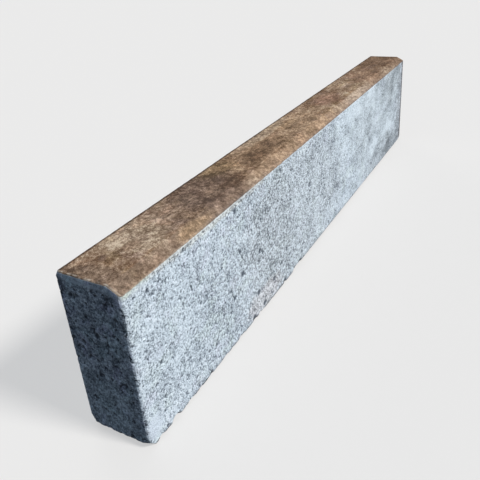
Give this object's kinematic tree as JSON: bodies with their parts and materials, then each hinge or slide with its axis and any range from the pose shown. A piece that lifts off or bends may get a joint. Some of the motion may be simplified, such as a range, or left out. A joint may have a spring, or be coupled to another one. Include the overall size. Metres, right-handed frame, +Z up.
{
  "type": "concrete kerb stone",
  "caption": "Straight pressed concrete kerb stone with a chamfered front top edge, grey body and a brown-toned top, laid on edge to border a path or lawn.",
  "frame": {"origin": "middle of the base, on the surface that the stone stands on", "axes": "+X along the length towards the far end, +Y across the width from the chamfered front to the back, +Z up from the base to the top"},
  "size_m": [1, 0.08, 0.2],
  "materials": {
    "concrete": "matte, open-pored pressed concrete, light grey with a brown-toned top and chamfer"
  },
  "bodies": {
    "root": {"kerb_stone": "concrete"}
  },
  "joints": []
}
